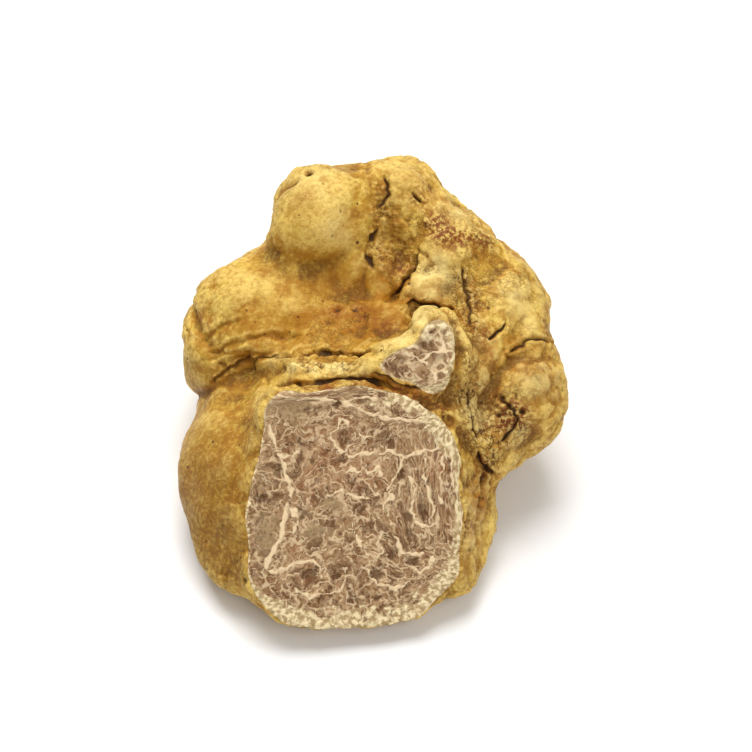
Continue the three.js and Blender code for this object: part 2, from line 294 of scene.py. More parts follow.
def settled(points, steps=2):
    """The points moved onto the body's true surface, and their outward directions."""
    points, reach = points.astype(np.float32), np.float32(0.05)
    for step in range(steps + 1):
        slope = np.stack([whole(points + reach * way) - whole(points - reach * way)
                          for way in np.eye(3, dtype=np.float32)], 1) / (2 * reach)
        length = np.maximum(np.linalg.norm(slope, axis=1), 0.3)[:, None]
        if step < steps:
            move = np.clip(whole(points)[:, None] / length, -FURTHEST, FURTHEST)
            points = points - move * slope / length
    return points, slope / length


points = settled(points)[0]

# ======================================================================================
# The truffle: its cracks, pits and warts
# The skin is a thin dry rind that splits where a fold dries and pits where soil was
# pressed into it. It is calm over the knob, the left shoulder and the left cheek, and
# knotty on the right and behind.
# ======================================================================================

# Each crack: name, half width, depth, how dark, and its route along the skin.
CRACKS = [
    ("knob groove", 0.33, 0.35, 0.85, [
        (1.6, 19.4, 32.2), (1.9, 17, 31.3), (1.1, 16.1, 29.9), (0.7, 15.8, 29.1)]),
    ("knob groove, middle", 0.3, 0.35, 0.8, [
        (0.7, 14.7, 28.4), (0.2, 13.9, 27.2), (-0.9, 12.9, 26.8)]),
    ("knob groove, foot", 0.3, 0.45, 1, [(-0.7, 12.3, 25.9), (-0.3, 10.8, 25.4), (0.1, 9.8, 24.9)]),
    ("slit by the groove", 0.3, 0.6, 1, [(4.6, 16.9, 31.9), (5.4, 16.2, 31.5), (6.4, 15.6, 31.1)]),
    ("fold above the curved crack", 0.32, 0.2, 0.4, [
        (5.8, 14, 30.2), (5.7, 13, 28.9), (5.5, 12, 27.4)]),
    ("curved crack", 0.3, 0.55, 1, [
        (5.5, 11.5, 26.9), (5, 10.1, 25.1), (3.6, 8.7, 23.4), (2.1, 7.5, 22.6)]),
    ("behind the shaved knob", 0.26, 0.5, 0.9, [
        (3.9, 5.7, 22.9), (4.8, 6, 23.2), (6.4, 5.3, 23.3), (8.1, 4.6, 23.5), (9.8, 3.9, 24)]),
    ("ridge split", 0.25, 0.4, 0.8, [
        (11, 8.8, 27.3), (10.7, 7.6, 26.1), (11.2, 5.6, 24.9), (11.3, 3.5, 24.5), (11.3, 0.8, 24)]),
    ("hooked crack", 0.27, 0.55, 1, [
        (13.3, 0.3, 23.5), (13.8, -0.1, 23.2), (14.8, 0.6, 23.1), (15.6, 1.6, 23.1),
        (16.2, 2.5, 23.3)]),
    ("round the bruise", 0.26, 0.45, 0.85, [
        (14.5, -5.7, 18.3), (15.6, -6.3, 17.8), (16.6, -6.8, 17.2), (17.2, -7.5, 16.3),
        (16.7, -8.1, 14.9), (15.6, -8.9, 14.6), (14.6, -9.9, 14.6)]),
    ("right of the shaved knob", 0.25, 0.35, 0.75, [
        (10.8, -5.5, 20.3), (11, -7.2, 18.8), (11.2, -9, 17.5), (11.9, -10.5, 15.1)]),
    ("crack by the cut", 0.34, 0.7, 1, [
        (11.8, -10.6, 14.8), (12.5, -11.2, 13), (13.3, -11.7, 11.9), (14.5, -11.8, 10.9)]),
    ("fold beside the cut", 0.4, 0.75, 0.7, [
        (12.9, -11.8, 11.8), (12.8, -13.4, 10.3), (12.4, -15.6, 9.7), (12.1, -17.4, 8.5),
        (12.3, -18.9, 6.5)]),
    ("second fold beside the cut", 0.34, 0.6, 0.9, [
        (10.6, -17.4, 11.8), (10.8, -18.5, 10.4), (10.4, -20.1, 8.9)]),
    ("third fold beside the cut", 0.38, 0.55, 0.5, [
        (13.9, -12.1, 10.8), (14.2, -12.8, 8.3), (13.8, -15.1, 7.7)]),
    ("crack in the lip", 0.24, 0.4, 0.75, [
        (-9.9, -0.9, 21.1), (-8.6, -1, 21.5), (-7, -0.3, 21.2), (-4.4, -1.2, 21.6),
        (-2, -2.4, 22.3), (-0.7, -3.8, 24.9)]),
    ("behind the lip", 0.34, 0.45, 0.6, [
        (-20.4, 0.7, 14.2), (-18.4, 1.3, 16.2), (-17.1, 1.7, 16.9), (-15.6, 2, 17.4),
        (-13.8, 1, 18.8), (-11.9, 0.5, 19.5), (-9.9, -0.9, 21.1)]),
    ("under the lip", 0.28, 0.45, 0.9, [
        (-11, -6.3, 21.3), (-8.8, -6.6, 22), (-6.6, -6.6, 22.7), (-3.9, -6.7, 23.1),
        (-1.1, -6.7, 22.9), (0.5, -7.1, 22.7)]),
    ("under the shaved knob", 0.25, 0.4, 0.8, [
        (-1.1, -6.4, 24.2), (1, -7.4, 23.9), (3.2, -7.8, 22.7), (7.6, -8.1, 22.3)]),
    ("left fold", 0.38, 0.34, 0.35, [
        (-21.1, 3.1, 16.5), (-17.5, 3, 19.2), (-13.3, 3, 20.6), (-9, 2.4, 21)]),
    ("left fold above", 0.38, 0.28, 0.3, [
        (-21.9, 5, 17.3), (-19.3, 4.8, 19.8), (-16.4, 4.9, 21.4)]),
    ("left fold below", 0.38, 0.32, 0.35, [
        (-20.2, 1.4, 15.3), (-18.4, 1.8, 17), (-15.4, 1.6, 18.6), (-12, 1, 19.4)]),
    ("right side crease", 0.24, 0.4, 0.8, [
        (16.2, -1.1, 21.5), (19.1, 1.3, 21.4), (22.2, 2.5, 19.8)]),
    ("back split", 0.28, 0.5, 0.9, [
        (3.3, 26.7, 27), (1.7, 26.9, 22.7), (2.5, 26.7, 18.4), (0.9, 27.6, 15.5)]),
    ("left back split", 0.26, 0.45, 0.8, [
        (-6.9, 27, 21.1), (-8.8, 24.8, 17), (-7.8, 24.3, 13.6)]),
    ("right back split", 0.26, 0.5, 0.9, [
        (10.9, 21.9, 15.8), (13.4, 22.8, 12.8), (12.6, 23.9, 9.9)]),
    ("right flank split", 0.26, 0.45, 0.8, [
        (16.7, 16.1, 24.3), (19.3, 15.1, 22.2), (19, 15.8, 19.5)]),
    ("right waist split", 0.24, 0.45, 0.8, [
        (23.1, 5.4, 16.9), (24.1, 3.8, 13.7), (23.7, 5.1, 10.3)]),
    ("left flank split", 0.26, 0.45, 0.8, [
        (-21.3, 15.3, 16.3), (-23.1, 13.3, 13.8), (-22.5, 14.5, 10.2)]),
]

# Each pit: centre, radius, depth, how dark.
PITS = [
    ((-8, 19, 33.1), 0.55, 1.1, 1), ((-4.7, 5.3, 22.9), 0.5, 0.5, 0.8),
    ((-2.6, 5.2, 23.2), 0.5, 0.4, 0.8), ((-1.4, 3.7, 23.3), 0.4, 0.3, 0.6),
    ((15.2, -5.7, 18.3), 0.5, 0.6, 0.9), ((16.1, -6.4, 17.7), 0.4, 0.5, 0.8),
    ((17.6, -7, 17), 0.45, 0.6, 0.9), ((14.8, -7.2, 16.8), 0.4, 0.4, 0.7),
    ((-16.4, -24.7, 7.8), 0.5, 0.4, 0.7),
]
BEADS = [  # size, height, route
    (0.9, 0.6, [(-12.8, 14.8, 26), (-12.2, 13.1, 26.8)]),
    (0.6, 0.5, [(-12.5, 0.2, 19), (-10.7, -1.5, 20.7), (-9.8, -3.9, 21.9), (-8.2, -3.8, 22.6),
                (-6.2, -4.4, 23), (-4.3, -4.7, 23.4), (-3, -6, 23.8), (-1.5, -6.7, 24.1)]),
    (0.36, 0.32, [(0.3, 18.2, 31.1), (0.4, 17.1, 30.5), (0.1, 16.4, 29.6), (-0.1, 15.2, 28.6),
                  (-0.6, 14.3, 27.8)]),
    (0.36, 0.25, [(2.6, 14.9, 29.9), (2.8, 13.8, 28.5), (2.6, 12.9, 26.8), (2.1, 11.4, 25.9)]),
    (0.5, 0.4, [(1.5, 10.3, 25.5), (0.9, 9.8, 25.1)]),
]
CALM = [  # centre and reach of the smooth parts of the skin
    ((-6, 13, 29), 8.5), ((-14, 8, 20), 8), ((-20, -10, 8), 11), ((-21, 1, 11), 6),
]
RANDOM_PITS, RANDOM_WARTS = 110, 330
CRACK_STEP = 0.15  # mm between the points along a crack
WANDER = 0.4  # mm, how far a crack strays to either side of its route
CURL = 0.1  # mm, how high the skin curls up along a crack and round a pit

# The marbling's main veins and the dark pockets between them, in mm across and up the cut.
VEINS = [  # half width, route across the cut
    (0.34, [(-15.1, 8.2), (-14.5, 6.3), (-14.2, 4), (-13.4, 0.9), (-13.3, -0.3), (-14.1, -2.8),
            (-15.3, -5.6), (-16.5, -7.4), (-17.2, -8.6)]),
    (0.25, [(-14.2, 4), (-13.2, 4.4), (-12.6, 4), (-11.9, 4.6)]),
    (0.2, [(-3, 5.3), (-4.3, 5.4), (-4.9, 6.6), (-6.4, 8.1), (-7, 6.8), (-7.9, 6.1), (-7.4, 4.6),
           (-6.5, 3.7), (-5.4, 4.4)]),
    (0.22, [(-6.7, 1.3), (-5.8, 2), (-5.3, 1.1), (-4.3, 2), (-3.8, 1), (-2.7, 1.7), (-2.3, 0.7)]),
    (0.28, [(-5.6, 3.1), (-3.8, 3.6), (-1.2, 3.5), (0.7, 2.4), (3.4, 3), (6.1, 3.2), (7, 3.6)]),
    (0.22, [(0.7, 2.4), (-0.5, 0.3), (-1.6, -0.9), (-1.4, -1.9), (-2.5, -2.8), (-2, -4.1)]),
    (0.25, [(1.2, 0.4), (1.3, -1.9), (0.7, -3.8), (1.2, -5.2), (2.5, -6), (3.9, -5.8)]),
    (0.22, [(3.3, 1.8), (2.8, -0.1), (3.2, -2.1), (3.4, -4.1), (2.9, -5.7)]),
    (0.2, [(5.3, 1.9), (4.5, 0.4), (4.5, -1.6), (4.7, -3.3)]),
    (0.28, [(6.8, 2.8), (6.2, 0.5), (6.3, -1.8), (7, -4.1), (6.8, -6.4), (7.3, -8.4)]),
    (0.25, [(-1.8, -5.4), (-1.3, -7.4), (-1.1, -8.8), (0.5, -9), (1.8, -9.4)]),
    (0.28, [(-0.3, -10.2), (1.2, -11.7), (2.3, -11.2), (2.7, -10.2)]),
    (0.22, [(-6.5, -4.8), (-5.8, -6.3), (-5.3, -7.7), (-4.7, -8.4)]),
    (0.3, [(-17.3, -8.9), (-15, -8.8), (-13, -8.2), (-11.6, -8), (-11, -9.3), (-10.9, -10.9)]),
    (0.22, [(-7.9, -10), (-7.7, -11.3), (-8.8, -12.4), (-10.8, -12.6), (-12.1, -12.7),
            (-14, -11.8)]),
    (0.22, [(-5.5, -9.9), (-5, -11.3), (-3.5, -12.5), (-1.9, -12.9), (-0.2, -12.5)]),
    (0.2, [(-9.6, -1), (-8.6, -1.1), (-6.9, -0.7), (-5.7, -1.4), (-4.4, -1.6), (-3, -1.4)]),
    (0.22, [(-14, 11.5), (-11.4, 10.7), (-9.1, 10.7), (-6.2, 9.7), (-3.5, 10.1), (0.7, 9.3),
            (3.9, 7.3), (6.6, 4.8)]),
    (0.28, [(-6.2, 9.7), (-3.4, 8.4), (-0.2, 7.1), (1.8, 6.9), (4.4, 6.3), (6.6, 3.9)]),
    (0.2, [(-13.3, -1.9), (-12.8, -3.6), (-13.5, -4.8)]),
    (0.2, [(-2.8, -6), (-3.6, -7.2), (-3.3, -8.5), (-4.2, -9.4)]),
    (0.24, [(2.4, 14.6), (3.9, 13.8), (5.1, 14.3), (6.9, 14.5), (8.1, 14.7)]),
    (0.24, [(3.9, 13.8), (4.6, 12.8), (5.4, 11.9), (7.1, 12)]),
    (0.2, [(6.9, 14.5), (7.2, 12.8), (7.2, 11.6)]),
    (0.2, [(-0.5, 14), (1.5, 14.7), (2.6, 14.5)]),
    (0.2, [(5.4, 11.9), (5.5, 11.1), (5.3, 10.6)]),
    (0.2, [(6.4, 17.5), (6.6, 16.1), (6.9, 14.5)]),
]
POCKETS = [  # middle, half sizes, how dark
    ((-12.2, -10), (0.8, 0.7), 1), ((-9.1, -10.6), (0.7, 0.7), 0.8),
    ((-4.2, -10.9), (1, 0.8), 1), ((-2, -9), (0.6, 0.6), 0.9), ((0.6, -10), (0.8, 0.6), 1),
    ((1.8, -9.1), (0.5, 0.5), 0.7), ((-12, -3), (0.6, 0.5), 0.8), ((0.3, -4.7), (0.6, 1.1), 0.7),
    ((2.1, -4.2), (0.6, 0.9), 1), ((-5, -3), (0.4, 0.8), 0.7), ((-10.2, 3.3), (0.5, 0.6), 0.6),
    ((-6.5, 3.1), (0.5, 0.4), 0.7), ((-5.9, 0), (0.7, 0.5), 0.6), ((-2.9, -0.1), (0.5, 0.5), 0.5),
    ((0.2, 0.5), (0.5, 0.9), 0.8), ((3, -0.9), (0.4, 0.7), 0.8), ((3.8, -3.3), (0.3, 0.7), 0.6),
    ((-14.5, 2.6), (0.5, 0.8), 0.6), ((-16.5, -0.6), (0.8, 0.5), 0.9),
    ((-11.6, 5.9), (0.5, 0.6), 0.6), ((-10.4, 9.3), (0.5, 0.5), 0.5),
    ((-6.7, 9.5), (0.6, 0.5), 0.6),
    ((-5.6, 4.9), (0.5, 0.5), 0.6), ((-2.9, 5.9), (0.3, 0.4), 0.5), ((0.4, -6.7), (0.6, 1), 0.6),
    ((-10.6, -1.2), (0.5, 0.5), 0.5), ((-5.1, -5.7), (0.4, 0.6), 0.5),
    ((-3.3, -10.2), (0.5, 0.5), 0.6), ((-0.9, -13), (0.7, 0.4), 0.6),
    ((-7.2, -13.6), (0.8, 0.4), 0.5), ((-11.5, -13.4), (0.8, 0.3), 0.4),
    ((-4.3, -13.8), (0.8, 0.5), 0.6), ((5.9, 0.6), (0.3, 0.8), 0.6),
    ((-7.6, -4.1), (0.4, 0.5), 0.4), ((-2.3, -7), (0.3, 0.5), 0.5), ((4.2, 15.6), (0.9, 0.9), 0.55),
    ((7.3, 16.6), (0.5, 0.7), 0.5), ((6, 13.6), (0.8, 0.5), 0.5), ((5.8, 12.6), (0.6, 0.4), 0.45),
    ((1.6, 13.9), (0.9, 0.4), 0.5), ((3.1, 12.9), (0.7, 0.5), 0.35), ((6.3, 11.3), (0.5, 0.5), 0.4),
]


def distance_to_route(points, route):
    away = np.full(len(points), np.inf)
    for start, end in zip(np.array(route[:-1], float), np.array(route[1:], float)):
        line = end - start
        share = np.clip((points - start) @ line / (line @ line), 0, 1)[:, None]
        away = np.minimum(away, np.linalg.norm(points - start - share * line, axis=1))
    return away


def laid_on_skin(route, step):
    """Points about a step apart along a route, moved onto the skin."""
    path = np.array(route, float)
    lengths = np.concatenate([[0], np.cumsum(np.linalg.norm(np.diff(path, axis=0), axis=1))])
    along = np.linspace(0, lengths[-1], max(int(lengths[-1] / step), 1) + 1)
    return settled(np.stack([np.interp(along, lengths, column) for column in path.T], 1), 3)[0]


def nearest(centres, points):
    """Which of the centres is nearest to each point, and how far it is."""
    tree = kdtree.KDTree(len(centres))
    for index, centre in enumerate(centres):
        tree.insert(centre, index)
    tree.balance()
    found = [tree.find(point) for point in points.tolist()]
    return np.array([hit[1] for hit in found]), np.array([hit[2] for hit in found])


def clouds(points, size, shift):
    """Soft random hills and hollows from about -1 to 1, as wide as size."""
    places = points / size + np.array(shift)
    return np.array([noise.noise(place) for place in places.tolist()])


def smooth(values, low, high):
    share = np.clip((values - low) / (high - low), 0, 1)
    return share * share * (3 - 2 * share)


def hills(points, *kinds):
    """Clouds of several heights, widths and shifts, one on the other."""
    return sum(high * clouds(points, size, shift) for high, size, shift in kinds)


def drift(size, *shifts):
    """A wandering offset for every point, with one shift for each direction it has."""
    return np.stack([clouds(points, size, shift) for shift in shifts], 1)


def blot(centre, reach, strength=1, fall=2):
    """A soft round spot on the skin: full at its centre, faded out past its reach."""
    return strength * np.exp(-(np.linalg.norm(points - centre, axis=1) / reach) ** fall)


def blots(*spots):
    return sum(blot(*spot) for spot in spots)


def on_cut_plane(points):
    return np.stack([points @ CUT_RIGHT, points @ CUT_UP], 1)


def spots_on_cut(places, spots, fall=1):
    """The same for spots on the cut, each a middle, half sizes and a strength."""
    return [strength * np.exp(-(((places - middle) / half) ** 2).sum(1) ** fall)
            for middle, half, strength in spots]


# Cracks run on the skin, and narrow and shallow out at their ends.
crack_steps, crack_sizes = [], []
for _, half_width, deep, dark, route in CRACKS:
    steps = laid_on_skin(route, CRACK_STEP)
    order = np.arange(len(steps))
    end = smooth(CRACK_STEP * np.minimum(order, order[::-1]), -0.3, 1.1)
    crack_steps.append(steps)
    crack_sizes.append(np.stack([half_width * (0.4 + 0.6 * end), deep * end, dark * end], 1))
crack_steps, crack_sizes = np.concatenate(crack_steps), np.concatenate(crack_sizes)
bead_steps = [laid_on_skin(route, 1.9 * radius) for radius, _, route in BEADS]
marked = np.concatenate([crack_steps, *bead_steps, np.array([pit[0] for pit in PITS])])

body_mesh = bpy.data.meshes.new("white_truffle")
body_mesh.from_pydata(points.tolist(), [], quads.tolist())


def corner_places():
    places = np.empty(len(body_mesh.vertices) * 3, np.float32)
    body_mesh.vertices.foreach_get("co", places)
    return places.reshape(-1, 3)


# Faces are halved on the cut and round the cracks, pits and beads, and once more close to
# those. Each round: how near in mm, and whether the cut is halved too.
for reach, on_cut in ((1.1, True), (0.58, False)):
    where = corner_places()
    chosen = nearest(marked, where)[1] < reach
    if on_cut:
        chosen |= np.abs(where @ CUT_OUT - KNIFE_OUT) < 0.2
    shaping = bmesh.new()
    shaping.from_mesh(body_mesh)
    edges = [edge for edge in shaping.edges
             if chosen[edge.verts[0].index] and chosen[edge.verts[1].index]]
    bmesh.ops.subdivide_edges(shaping, edges=edges, cuts=1, use_grid_fill=True)
    shaping.to_mesh(body_mesh)
    shaping.free()
shaping = bmesh.new()
shaping.from_mesh(body_mesh)
bmesh.ops.triangulate(shaping, faces=shaping.faces, quad_method="SHORT_EDGE")
shaping.to_mesh(body_mesh)
shaping.free()
points, outwards = settled(corner_places())

# How far below the skin the knife went, in mm; the flat underneath keeps its rind.
flesh_depth = np.where(points @ CUT_OUT > KNIFE_OUT - 1, -skin(points), 0)
on_skin = 1 - smooth(flesh_depth, 0.25, 0.7)
knotty = 1 - np.max([blot(centre, reach, fall=4) for centre, reach in CALM], axis=0)

# The rind's own unevenness: broad dents, leathery wrinkles, and knots on the rough side.
relief = hills(points, (0.13, 5.2, (3, 8, 1)), (0.08, 2.3, (7, 1, 5)), (0.05, 1.05, (2, 9, 4)))
relief += knotty * hills(points, (0.36, 3.4, (5, 2, 8)), (0.22, 1.7, (1, 4, 6)),
                         (0.13, 0.85, (8, 3, 1)))
# Fold lines: the borders of bent cells 4.5 mm across.
bent = points + 1.6 * drift(3.7, (1, 0, 5), (6, 2, 0), (0, 7, 3))
cells = [noise.voronoi(place)[0] for place in (bent / 4.5).tolist()]
folds = np.array([second - first for first, second, _, _ in cells])
relief -= (knotty * 0.3 * smooth(clouds(points, 6, (9, 9, 2)), -0.35, 0.25)
           * np.exp(-(folds / 0.09) ** 2))
# Fine wrinkles run along the left fold, and up and down beside the cut.
relief += 0.09 * clouds(points * (0.3, 1, 1.2), 0.85, (4, 4, 1)) * blot((-18, 3, 17), 5.5)
up_the_cut = np.stack([points @ CUT_RIGHT, 0.28 * (points @ CUT_UP), points @ CUT_OUT], 1)
relief += 0.24 * clouds(up_the_cut, 0.95, (2, 6, 1)) * blot((12, -16, 8), 6)
relief -= 0.1  # and all of it a little sunk, so that it keeps within the solid

# The lip over the cut and the floor of the knob's groove are crumbly.
crumbly = np.clip(blots(
    ((-10, -3, 21.5), 1.5), ((-7.5, -4.3, 22.8), 1.5), ((-4.6, -4.9, 23.4), 1.5),
    ((1.5, 15.5, 29.3), 1.6), ((1, 12, 26.4), 1.6), ((1.4, 17.8, 31.2), 1.3)), 0, 1)
grains = np.array([noise.voronoi(place)[0][0] for place in (points / 0.95).tolist()])
relief += crumbly * (0.22 - 0.55 * grains)

# Cracks, each wandering a little either side of its route.
wander = WANDER * drift(1.1, (4, 0, 1), (0, 5, 2), (3, 3, 0))
wander -= np.sum(wander * outwards, axis=1, keepdims=True) * outwards
index, away = nearest(crack_steps, points + wander)
half_width, deep, dark = crack_sizes[index].T
away = away / half_width
relief -= deep * np.exp(-away ** 2)
relief += CURL * np.exp(-((away - 2.2) / 1.1) ** 2) * smooth(deep, 0, 0.5)
crack_mark = dark * np.exp(-(away / 0.9) ** 2)

for centre, radius, deep, dark in PITS:
    away = np.linalg.norm(points - centre, axis=1) / radius
    relief -= deep * np.exp(-away ** 2)
    relief += CURL * np.exp(-((away - 1.9) / 0.6) ** 2)
    crack_mark = np.maximum(crack_mark, dark * np.exp(-(away / 0.95) ** 2))

dice = np.random.default_rng(7)


def bumps(centres, radii, heights):
    """Rounded bumps, or pits where a height is below zero, round points on the skin."""
    index, away = nearest(centres, points)
    away = away / radii[index]
    return heights[index] * np.exp(-away ** 2), away


skin_points = np.flatnonzero((on_skin > 0.9) & (points[:, 2] > 0.5))
weights = 0.12 + knotty[skin_points]
chosen = dice.choice(skin_points, RANDOM_PITS, replace=False, p=weights / weights.sum())
radii = dice.uniform(0.2, 0.42, RANDOM_PITS)
dents, away = bumps(points[chosen], radii, -dice.uniform(0.08, 0.3, RANDOM_PITS))
relief += dents
crack_mark = np.maximum(crack_mark, 0.55 * np.exp(-(away / 0.7) ** 2))
chosen = dice.choice(skin_points, RANDOM_WARTS, replace=False, p=weights / weights.sum())
warts, _ = bumps(points[chosen], dice.uniform(0.35, 0.8, RANDOM_WARTS),
                 dice.uniform(0.05, 0.16, RANDOM_WARTS))
relief += warts
for (radius, high, _), centres in zip(BEADS, bead_steps):
    centres = np.concatenate([centres, centres + dice.normal(0, 0.5, centres.shape)])
    shell, _ = bumps(centres, dice.uniform(0.75, 1.25, len(centres)) * radius,
                     dice.uniform(0.6, 1.2, len(centres)) * high)
    relief += shell

# On the cut the veins stand a little proud and the pockets between them are sunk.
across = on_cut_plane(points)
for size in (2.1, 0.7):
    across = across + 0.4 * drift(size, (1, 2, 3), (4, 5, 6))
vein = np.min([distance_to_route(across, route) / half_width for half_width, route in VEINS],
              axis=0) / (0.85 + 0.9 * clouds(points, 1.3, (7, 7, 7)))
pocket = np.max(spots_on_cut(across, POCKETS, 1.5), axis=0)
cut_relief = -0.05 - 0.28 * pocket * smooth(vein, 0.6, 1.4) + 0.05 * np.exp(-vein ** 2)

points = points + outwards * (relief * on_skin + cut_relief * (1 - on_skin))[:, None]
past_knife = np.maximum(points @ CUT_OUT - KNIFE_OUT, 0)
points = points - past_knife[:, None] * CUT_OUT
points[:, 2] = np.maximum(points[:, 2], 0)

# ======================================================================================
# The truffle: its colours
# The rind is golden ochre, with amber stains in the hollow, rust where it bruised, and fine
# dark freckles. Painted highlight makes its crests creamy, and painted shade makes its folds,
# grooves and low spots olive brown and amber. The flesh is a pinkish taupe, marbled by fine
# cream veins, with a cream rim under the rind.
# ======================================================================================

edges = np.empty(len(body_mesh.edges) * 2, int)
body_mesh.edges.foreach_get("vertices", edges)
edges = edges.reshape(-1, 2)
neighbours = np.bincount(edges.ravel(), minlength=len(points))[:, None]


def spread(values, rounds):
    """Each point's value averaged with its neighbours', over and over."""
    for _ in range(rounds):
        total = np.stack([
            np.bincount(edges[:, 0], column[edges[:, 1]], len(points))
            + np.bincount(edges[:, 1], column[edges[:, 0]], len(points))
            for column in values.T], 1)
        values = (values + total) / (1 + neighbours)
    return values


# How deep a point lies in a fold, close by (under 2 mm) and far off (up to 6 mm). Below,
# these paint shade into the folds and grooves and a highlight onto the crests.
close_fold = np.sum((spread(points, 14) - points) * outwards, axis=1)
far_fold = sum(share * np.clip(1 - skin(points + outwards * np.float32(reach)) / reach, 0, 1)
               for reach, share in ((1.5, 0.3), (3, 0.35), (6, 0.35)))

cut_place = on_cut_plane(points)
right, up = cut_place.T

# The cream rim is thin on the left of the cut, and broad along its foot and upper right.
rim_width = (0.3 + 1.15 * smooth(-up, 8, 15) + 0.35 * smooth(right, 2, 6)
             + 0.9 * smooth(right * 0.6 + up * 0.8, 2, 8) * smooth(up, -2, 4)
             * smooth(10.5 - up, 0, 1.5))

# Where the marbling is drawn out, its pattern is squeezed across the grain.
drawn_out = smooth(right, -4, 1) * smooth(up, -15, -6) * smooth(8 - up, 0, 4)
marble = np.stack([right * (1 + 0.5 * drawn_out), up * (1 - 0.45 * drawn_out),
                   np.zeros(len(points))], 1)
marble *= (1 - 0.4 * smooth(up, 10, 11.5))[:, None]  # the small cut has larger cells

# Stains, each a centre, a reach and, where it isn't full, a strength.
rust = blots(
    ((5.4, 16.2, 31.5), 1.4, 0.6), ((7, 18.4, 31.5), 1.6, 0.5), ((7.9, 13.7, 30.3), 1.6, 0.8),
    ((7.4, 12.2, 29.6), 1.3, 0.9), ((8.8, 11.4, 29.5), 1.5), ((10.4, 11, 29.4), 1.5),
    ((12.3, 11.6, 29), 1.3, 0.9), ((14.1, 12, 27.8), 1.3, 0.9), ((3.8, 11.4, 25.6), 1.3, 0.8),
    ((3.3, 10.3, 24.9), 1.3, 0.9), ((4.4, 12.5, 27.7), 1.2, 0.6), ((13.3, 0.1, 23.5), 0.9),
    ((16.3, -6.6, 17.4), 1.5), ((17.4, -7.2, 16.7), 1.4, 0.9), ((15.4, -7.8, 16), 1.5),
    ((13.6, -5.4, 19), 1.4, 0.7), ((12.6, -8.7, 16.7), 1, 0.8), ((-2.2, 5.5, 23.2), 1.2, 0.9),
    ((-4.9, 5, 22.8), 1.2, 0.9), ((-1.4, 3.7, 23.3), 1.2, 0.7), ((0.8, 1.3, 23.6), 1.6, 0.9),
    ((12.5, -11, 13.8), 1.2, 0.7), ((11.8, -17.2, 8.9), 0.9, 0.7), ((-8.9, -8.3, 23), 1.2, 0.8),
    ((-6.2, -8.3, 23.2), 1.3, 0.9), ((-3.4, -8.3, 23.2), 1.4, 0.9), ((-0.7, -8.4, 22.8), 1.5, 0.9),
    ((2.1, -8.7, 22.3), 1.6, 0.9), ((4.9, -8.5, 21.3), 1.6), ((7.1, -8.7, 20.6), 1.6, 0.9),
    ((-20.7, 8.5, 19.7), 0.8, 0.5), ((10.5, -5.5, 23.4), 1, 0.7), ((14, -2.6, 21.8), 1, 0.6),
    ((12.9, -12.5, 11.2), 1.3, 0.7), ((12.4, -15.6, 9.7), 1.3, 0.6), ((10.7, -18.8, 9.6), 1.4, 0.8),
    ((2, 26.8, 21), 2.2, 0.8), ((-8, 25, 16), 2, 0.7), ((12.5, 23, 12.5), 2.2, 0.8),
    ((18.6, 15.5, 21.5), 2, 0.8), ((23.8, 4.4, 13.5), 2, 0.7), ((-22.8, 13.8, 13), 1.8, 0.7),
    ((5.9, 25.1, 18.1), 1.5, 0.5), ((-16.4, 16.8, 19.8), 1.6, 0.7), ((19, -8, 13.5), 1.4, 0.5))
amber_and_fold_shade = blots(
    ((-3, 3.5, 22.5), 4.5), ((-9.5, 4, 21.5), 3.5, 0.6), ((1, 4, 23), 3.5, 0.9),
    ((-7.5, 8.5, 23.6), 2.6, 0.6), ((-4, 9.5, 24), 2.4, 0.6), ((0.5, 9.5, 24.5), 2.2, 0.6),
    ((-14, 4, 20.5), 3, 0.3), ((-12.5, -6.5, 20.5), 2, 0.6), ((1.8, 8.4, 25), 2, 0.5),
    ((-6.2, -8.4, 23.2), 1.6), ((-1, -8.5, 22.8), 2), ((4.5, -8.7, 21.5), 2.2),
    ((14.5, -9, 14.8), 2.5, 0.6), ((20.5, -2.5, 18.8), 3.5, 0.45), ((17, -2.5, 20.3), 3, 0.4),
    ((12.8, -1.7, 22.9), 2, 0.6), ((11.6, -12.3, 12), 2, 0.5), ((11.3, -16, 11), 2.2, 0.5),
    ((10.7, -19.8, 8.6), 2.2, 0.5), ((13.3, -14.2, 9.2), 2, 0.6), ((0, 25.7, 25.1), 3, 0.5),
    ((14, 19.7, 19.9), 3, 0.6), ((-10, 24.5, 12), 3, 0.5), ((8.2, 25.6, 3.3), 3, 0.5),
    ((-23.8, 11.7, 12), 3, 0.5), ((21.7, 10.9, 14), 3, 0.5), ((-21, -12, 9), 9, 0.3),
    ((-8.5, 15, 32), 1.5, 0.35), ((5, 19, 32), 3, 0.35), ((-8.2, 13.4, 31.5), 1.2, 0.3),
    ((12.3, -14.1, 10.4), 2, 0.4), ((11.7, -17.5, 9.2), 2, 0.3), ((17, 0, 21), 2.5, 0.4),
    ((15.5, 8, 26), 3, 0.35), ((20, -5, 15), 3, 0.4), ((9, 14, 29.5), 2, 0.3))
